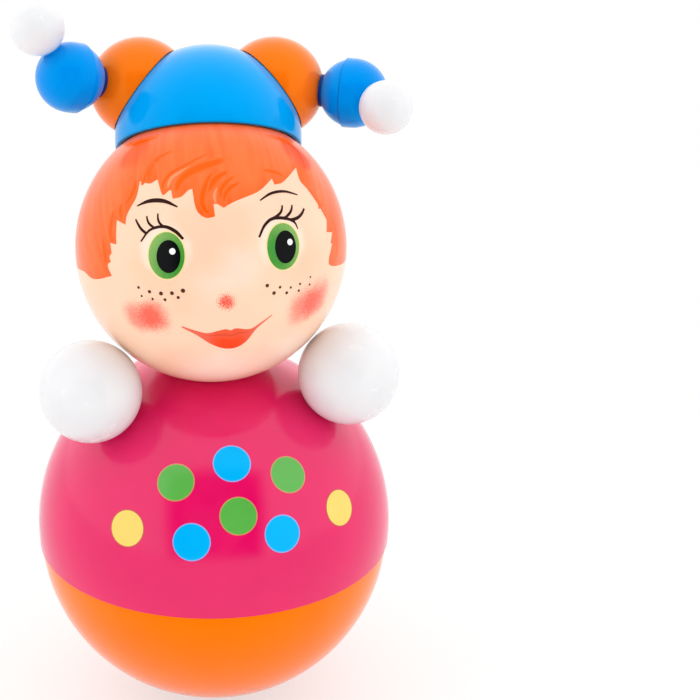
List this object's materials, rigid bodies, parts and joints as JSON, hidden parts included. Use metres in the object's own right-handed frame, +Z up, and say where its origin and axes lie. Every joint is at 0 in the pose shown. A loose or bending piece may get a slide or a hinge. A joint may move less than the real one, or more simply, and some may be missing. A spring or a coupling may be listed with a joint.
{
  "type": "roly poly toy",
  "caption": "Clown tumbler doll: weighted ball body that rights itself, ball head and hands, horned hat with turning ball tips, and a chime hung inside.",
  "frame": {"origin": "centre of the rest flat under the bowl", "axes": "+Z up through the body and head, the face looks along -Y, +X to the viewer's right"},
  "size_m": [0.1626, 0.152, 0.3051],
  "materials": {
    "bowl_orange": "glossy orange moulded plastic",
    "shell_pink": "glossy pink moulded plastic with printed dots",
    "head_flesh": "glossy flesh moulded plastic with painted face and hair",
    "hat_blue": "glossy blue moulded plastic",
    "horn_orange": "glossy orange moulded plastic",
    "tip_blue": "glossy deep blue moulded plastic",
    "ball_white": "glossy white moulded plastic",
    "inner_plastic": "plain natural moulded plastic",
    "screw_steel": "zinc plated steel",
    "tone_steel": "drawn bright steel",
    "ballast_iron": "raw cast iron",
    "hammer_brass": "turned brass"
  },
  "bodies": {
    "doll": {"body_lower_shell": "bowl_orange", "body_upper_shell": "shell_pink", "neck_ring": "inner_plastic", "neck_bush": "inner_plastic", "head_front_shell": "head_flesh", "head_back_shell": "head_flesh", "hat_dome": "hat_blue", "hat_screw": "screw_steel", "horn_left": "horn_orange", "horn_right": "horn_orange", "horn_screws": "screw_steel", "tip_cup_left": "tip_blue", "tip_cup_right": "tip_blue", "tip_screws": "screw_steel", "hand_left": "ball_white", "hand_right": "ball_white", "hand_screws": "screw_steel", "ballast_weight": "ballast_iron", "ballast_screws": "screw_steel", "chime_base": "inner_plastic", "chime_screws": "screw_steel", "tone_rod_1": "tone_steel", "tone_rod_2": "tone_steel", "tone_rod_3": "tone_steel", "tone_rod_4": "tone_steel", "tone_rod_5": "tone_steel", "tone_rod_6": "tone_steel", "hammer_axle": "tone_steel"},
    "tip_left": {"tip_cap_left": "tip_blue", "bobble_left": "ball_white"},
    "tip_right": {"tip_cap_right": "tip_blue", "bobble_right": "ball_white"},
    "hammer": {"hammer_arm": "inner_plastic", "hammer_head": "hammer_brass"}
  },
  "joints": [
    {"name": "tip_left_turn", "type": "hinge", "parent": "doll", "child": "tip_left", "pos_m": [-0.05369, 0.02957, 0.27239], "axis": [-0.8783, -0.3763, 0.295], "continuous": true},
    {"name": "tip_right_turn", "type": "hinge", "parent": "doll", "child": "tip_right", "pos_m": [0.06436, 0.02451, 0.26096], "axis": [0.9234, -0.3838, -0.0052], "continuous": true},
    {"name": "hammer_swing", "type": "hinge", "parent": "doll", "child": "hammer", "pos_m": [0, 0, 0.066], "axis": [1, 0, 0], "range_deg": [-13.5, 13.5]}
  ]
}
